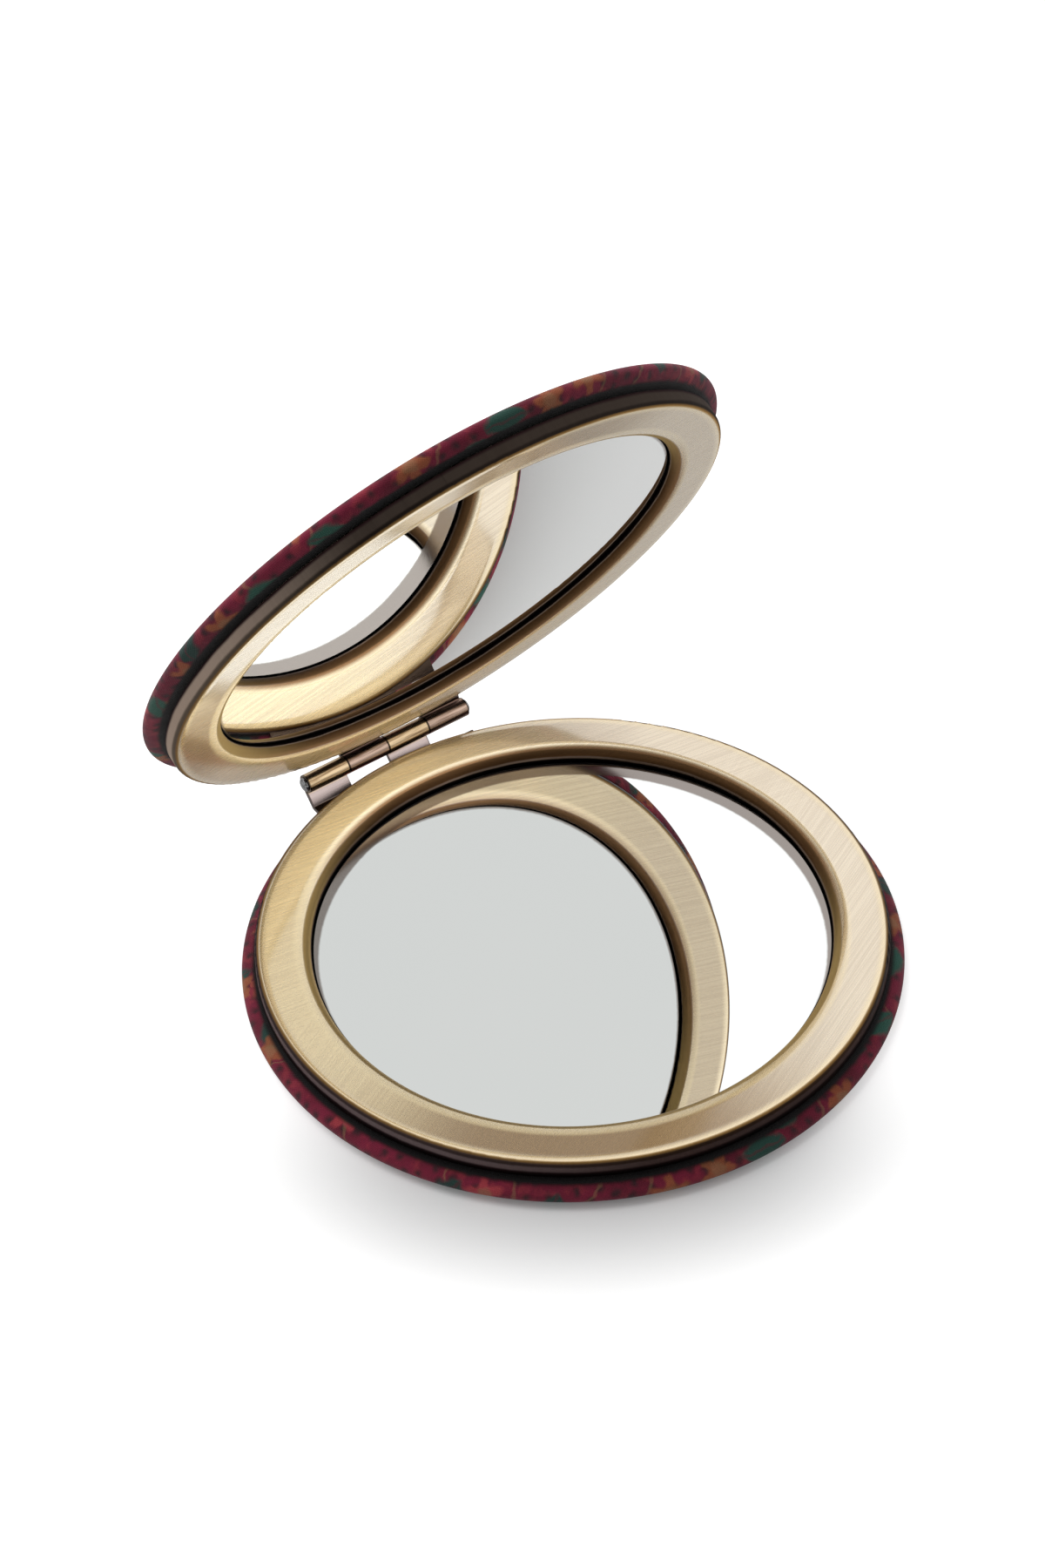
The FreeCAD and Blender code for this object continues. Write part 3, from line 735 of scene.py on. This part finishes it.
glue = Finish("cured_glue")
spread = glue.noise(glue.object_mm(), scale=0.5, detail=4.0)
glue.coat(
    Base_Color=glue.mix(glue.rise(spread, 0.35, 0.65), GLUE_AMBER, GLUE_PALE),
    Roughness=glue.between(spread, 0.3, 0.55),
    Normal=glue.relief(spread, GLUE_DEPTH),
)
for half in ("base", "lid"):
    dress(f"{half}_cover_glue", glue.material)
    dress(f"{half}_mirror_glue", glue.material)


# Mirrors. A round of thin float glass, ground at the edge and silvered on its back, is glued in each frame.
# The glass bends the view, so the silver looks nearer the front than it is. Its darker rim is partly
# desilvering and partly a painted reflection of the lip, widest on the base's far side.
# The surface here is the silver as it looks through the glass.
MIRROR_LOW, MIRROR_HIGH = (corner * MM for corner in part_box("base_mirror"))
MIRROR_RADIUS = MIRROR_HIGH.x
SILVER = paint(253, 254, 253)
SILVER_CLOUD = paint(251, 253, 252)
# The rim's lilac grey is desilvering and a painted reflection of the lip.
SILVER_RIM_DESILVERED_AND_REFLECTED = paint(156, 148, 143)
EDGE_DARK = paint(16, 15, 14)
EDGE_GREY = paint(30, 29, 27)
LOOKS_DEEP = {"base": 0.33, "lid": 0.3}
GROUND_CORNER = 0.1
GLUE_LIFT = 0.03
RIM_WIDTH = {"base": 0.3, "lid": 0.0}
RIM_FADE = 0.3
RIM_SHIFT = {"base": (-0.71, -1.09, 0.0), "lid": (0.0, 0.0, 0.0)}


def mirror_grid(half):
    """The mirror's section carried round its axis: flat back, upright edge, ground corner, flat silver."""
    high, low = MIRROR_HIGH.z - LOOKS_DEEP[half], MIRROR_LOW.z + GLUE_LIFT
    wide = MIRROR_RADIUS
    radius = np.array([0.0, wide / 2, wide, wide, wide - GROUND_CORNER, wide / 2, 0.0])
    height = np.array([low, low, low, high - GROUND_CORNER / 2, high, high, high])
    return carried_round(radius, height)


def silvering(half):
    """Silver with a faint cloudy tint, and a darker rim outside a round that may lie off the middle:
    desilvering, and a painted reflection of the lip.
    """
    silver = Finish(f"silvering_{half}")
    place = half_mm(silver, half)
    shifted = silver.vector("SUBTRACT", place, RIM_SHIFT[half])
    radius = silver.measure("LENGTH", silver.vector("MULTIPLY", shifted, (1.0, 1.0, 0.0)))
    ragged = silver.sum("MULTIPLY_ADD", silver.noise(place, scale=1.5), 0.1, radius)
    rim_start = MIRROR_RADIUS - GROUND_CORNER - RIM_WIDTH[half]
    rim = silver.rise(ragged, rim_start - RIM_FADE, rim_start)
    clear = silver.mix(silver.noise(place, scale=0.05, detail=2.0), SILVER, SILVER_CLOUD)
    return silver.coat(
        Base_Color=silver.mix(rim, clear, SILVER_RIM_DESILVERED_AND_REFLECTED),
        Metallic=1.0,
        Roughness=silver.between(rim, 0.0, 0.1),
    )


def ground_edge():
    """The glass's edge and back, matt, and painted dark as shade where they stand in the recess."""
    edge = Finish("ground_edge")
    grit = edge.noise(edge.object_mm(), scale=3.0, detail=4.0)
    return edge.coat(Base_Color=edge.mix(edge.rise(grit, 0.4, 0.7), EDGE_DARK, EDGE_GREY), Roughness=0.8)


FRONT, EDGE = 0, 1
dark_edge = ground_edge()
for half in ("base", "lid"):
    mirror = turned_piece(f"{half}_mirror_glass", mirror_grid(half), half, smooth=False)
    for finish in (silvering(half), dark_edge):
        mirror.data.materials.append(finish)
    quads = np.repeat([EDGE, EDGE, EDGE, FRONT], AROUND)
    fans = np.repeat([EDGE, FRONT], AROUND)
    mirror.data.polygons.foreach_set("material_index", np.concatenate([quads, fans]).astype(np.int32))
    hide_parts(f"{half}_mirror")
    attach(mirror, half)


# Hinge leaves. Each is a strip of bronze-coloured brass: a flat tail riveted into the frame, a sloped web,
# and two tongues rolled into knuckles that alternate with the other leaf's.
# The knuckles are polished along their length; their ends stay dark. A painted reflection makes the web pale,
# and patina and painted shade darken its foot.
LEAF_GOLD = paint(208, 184, 148)
LEAF_GOLD_BROWN = paint(126, 96, 66)
LEAF_ROSE = paint(178, 154, 138)
LEAF_ROSE_BROWN = paint(98, 72, 54)
LEAF_PALE_REFLECTION = paint(180, 164, 160)
LEAF_DARK = paint(40, 28, 22)
POLISH_DRAWN = (0.15, 5.0, 5.0)
POLISH_DEPTH = 0.004
HINGE_LENGTH = 20.6
KNUCKLES = 4
KNUCKLE_RADIUS = 1.05
DARK_GAP = (0.16, 0.07)
PALE_WEB = (0.05, 0.4)
DARK_FOOT = (0.5, 1.9)


def hinge_bronze(name, light, brown):
    """Bronze-coloured sheet brushed along the hinge, darker in the gaps, with a painted pale reflection on
    the web and patina and painted shade at its foot.
    """
    bronze = Finish(name)
    place = bronze.object_mm()
    drawn = bronze.node("Mapping", {"Vector": place, "Scale": POLISH_DRAWN})
    brush = bronze.noise(drawn, scale=1.0, detail=4.0, roughness=0.7)
    from_pin = bronze.vector("SUBTRACT", place, tuple(HINGE_POINT))
    away = bronze.measure("LENGTH", bronze.vector("MULTIPLY", from_pin, (0.0, 1.0, 1.0)))
    off_knuckle = bronze.sum("SUBTRACT", away, KNUCKLE_RADIUS)
    x = bronze.node("SeparateXYZ", {"Vector": from_pin})
    to_end = bronze.sum("PINGPONG", bronze.sum("ADD", x, HINGE_LENGTH / 2), HINGE_LENGTH / KNUCKLES / 2)
    gap = bronze.rise(to_end, *DARK_GAP)
    painted_light_and_tone = bronze.mix(bronze.rise(brush, 0.4, 0.7), light, brown)
    # A painted reflection makes the web pale; patina and painted shade darken its foot.
    painted_light_and_tone = bronze.mix(bronze.rise(off_knuckle, *PALE_WEB), painted_light_and_tone, LEAF_PALE_REFLECTION)
    foot = bronze.rise(off_knuckle, *DARK_FOOT)
    dark = bronze.sum("MULTIPLY", bronze.sum("MAXIMUM", gap, foot), 0.8)
    return bronze.coat(
        Base_Color=bronze.mix(dark, painted_light_and_tone, LEAF_DARK),
        Metallic=1.0,
        Roughness=bronze.between(brush, 0.2, 0.36),
        Normal=bronze.relief(brush, POLISH_DEPTH),
    )


dress("base_hinge_leaf", hinge_bronze("hinge_bronze_base", LEAF_GOLD, LEAF_GOLD_BROWN))
dress("lid_hinge_leaf", hinge_bronze("hinge_bronze_lid", LEAF_ROSE, LEAF_ROSE_BROWN))


# Steel pieces. A steel pin runs through all four knuckles and is headed over at both ends.
# Flush steel rivets, two to a leaf, hold the leaves' tails in the frames and are hidden under the covers.
STEEL = paint(166, 167, 168)
STEEL_DULL = paint(66, 64, 62)
WIRE_DRAWN = (0.6, 7.0, 7.0)
WIRE_DEPTH = 0.006

steel = Finish("steel")
drawn_wire = steel.node("Mapping", {"Vector": steel.object_mm(), "Scale": WIRE_DRAWN})
wire = steel.noise(drawn_wire, scale=1.0, detail=4.0)
steel.coat(
    Base_Color=steel.mix(steel.rise(wire, 0.35, 0.7), STEEL, STEEL_DULL),
    Metallic=1.0,
    Roughness=steel.between(wire, 0.18, 0.38),
    Normal=steel.relief(wire, WIRE_DEPTH),
)
for node in ("hinge_pin", "base_rivet_left", "base_rivet_right", "lid_rivet_left", "lid_rivet_right"):
    dress(node, steel.material)


# Floor and light. The compact lies on a plain pale sweep under a large soft light, a little from behind.
# To the eye the floor and the sky are white; the floor keeps the compact's shadow, and a painted shadow
# deepens it at its front.
# Metal and mirrors see a sky that is brighter overhead, and an unlit room behind the camera.
WHITE = (1.0, 1.0, 1.0, 1.0)
FLOOR_RADIUS = 0.3
FLOOR_SIDES = 96
FLOOR_PALE = (0.73, 0.73, 0.73, 1.0)
FLOOR_LIFT, FLOOR_LIFT_SHADED = 0.62, 0.1
SHADE_TOWARDS = (-0.545, -0.838, 0.0)
SHADE_WIDTH = 20.0
SKY_FRONT, SKY_BACK = 0.25, 0.8
SKY_HORIZON = 0.68
SKY_UPPER_FRONT, SKY_UPPER_BACK = 1.5, 1.06
DARK_ROOM = (-0.394, -0.606, 0.691)
DARK_ROOM_SHARE = 0.7
SUN_STRENGTH = 1.6
SUN_ANGLE = math.radians(60.0)
SUN_TILT = (math.radians(-40.0), math.radians(-8.0), 0.0)

floor_angle = np.linspace(0.0, 2 * math.pi, FLOOR_SIDES, endpoint=False)
floor_edge = FLOOR_RADIUS * np.stack([np.cos(floor_angle), np.sin(floor_angle), 0.0 * floor_angle], axis=-1)
floor_mesh = bpy.data.meshes.new("floor")
floor_mesh.from_pydata(floor_edge.tolist(), [], [list(range(FLOOR_SIDES))])
floor = bpy.data.objects.new("floor", floor_mesh)
bpy.context.scene.collection.objects.link(floor)
sweep = Finish("pale_sweep")
spot = sweep.object_mm()
clear_of_cover = sweep.sum("SUBTRACT", sweep.measure("LENGTH", spot), COVER_RADIUS)
in_front = sweep.measure("DOT_PRODUCT", sweep.vector("NORMALIZE", spot), SHADE_TOWARDS)
# Painted shadow: in front of the cover the floor's lift to white falls away.
near = sweep.rise(clear_of_cover, SHADE_WIDTH, 0.5)
shaded = sweep.sum("MULTIPLY", sweep.rise(in_front, 0.35, 0.95), near)
to_eye = sweep.node("LightPath", {}, output="Is Camera Ray")
sweep.coat(
    Base_Color=FLOOR_PALE,
    Roughness=0.9,
    Specular_IOR_Level=0.0,
    Emission_Color=WHITE,
    Emission_Strength=sweep.sum("MULTIPLY", to_eye, sweep.between(shaded, FLOOR_LIFT, FLOOR_LIFT_SHADED)),
)
floor_mesh.materials.append(sweep.material)

world = bpy.data.worlds.new("studio")
bpy.context.scene.world = world
world.use_nodes = True
sky = Wiring(world.node_tree)
way_out = sky.node("TexCoord", {}, output="Generated")
axes = sky.node("SeparateXYZ", {"Vector": way_out}).node.outputs
falling = sky.between(sky.rise(axes["Y"], -1.0, 1.0), SKY_FRONT, SKY_BACK)
upper = sky.between(sky.rise(axes["Y"], 0.3, -0.5), SKY_UPPER_BACK, SKY_UPPER_FRONT)
mirrored = sky.blend(sky.rise(axes["Z"], 0.0, 0.4), SKY_HORIZON, upper)
in_dark_room = sky.rise(sky.measure("DOT_PRODUCT", way_out, DARK_ROOM), 0.8, 0.95)
mirrored = sky.sum("MULTIPLY", mirrored, sky.between(in_dark_room, 1.0, 1.0 - DARK_ROOM_SHARE))
path = sky.node("LightPath", {}).node.outputs
off_metal = sky.sum("MAXIMUM", path["Is Glossy Ray"], path["Is Transmission Ray"])
strength = sky.blend(path["Is Camera Ray"], sky.blend(off_metal, falling, mirrored), 1.0)
background = world.node_tree.nodes["Background"]
sky.feed(background.inputs["Color"], WHITE)
sky.feed(background.inputs["Strength"], strength)

sun_data = bpy.data.lights.new("overhead_light", "SUN")
sun_data.energy = SUN_STRENGTH
sun_data.angle = SUN_ANGLE
sun = bpy.data.objects.new("overhead_light", sun_data)
sun.rotation_euler = SUN_TILT
sun.visible_glossy = False
bpy.context.scene.collection.objects.link(sun)
bpy.context.scene.view_settings.view_transform = "Standard"


# Camera. It looks down on the open compact from the front left, from far off with a long lens.
# Its place was found by matching the round edges of both halves and their reflections.
VIEW_AZIMUTH = math.radians(-33.07)
VIEW_ELEVATION = math.radians(43.72)
VIEW_ROLL = math.radians(-2.25)
VIEW_DISTANCE = 863.0
VIEW_ASIDE = -4.60
VIEW_ABOVE = 18.64
VIEW_CENTRE_HEIGHT = COVER_THICKNESS / 2
PHOTO_HEIGHT = 1800
FOCAL_PIXELS = 9383

camera_data = bpy.data.cameras.new("camera")
camera_data.lens = FOCAL_PIXELS / PHOTO_HEIGHT * camera_data.sensor_width
camera = bpy.data.objects.new("camera", camera_data)
bpy.context.scene.collection.objects.link(camera)
back = Vector((math.sin(VIEW_AZIMUTH) * math.cos(VIEW_ELEVATION),
               -math.cos(VIEW_AZIMUTH) * math.cos(VIEW_ELEVATION), math.sin(VIEW_ELEVATION)))
right = Vector((math.cos(VIEW_AZIMUTH), math.sin(VIEW_AZIMUTH), 0.0))
up = back.cross(right)
rolled_right = math.cos(VIEW_ROLL) * right + math.sin(VIEW_ROLL) * up
rolled_up = math.cos(VIEW_ROLL) * up - math.sin(VIEW_ROLL) * right
stand = VIEW_ASIDE * right + VIEW_ABOVE * up + VIEW_DISTANCE * back + Vector((0.0, 0.0, VIEW_CENTRE_HEIGHT))
placed = Matrix((rolled_right, rolled_up, back)).transposed().to_4x4()
placed.translation = stand / MM
camera.matrix_world = placed
bpy.context.scene.camera = camera
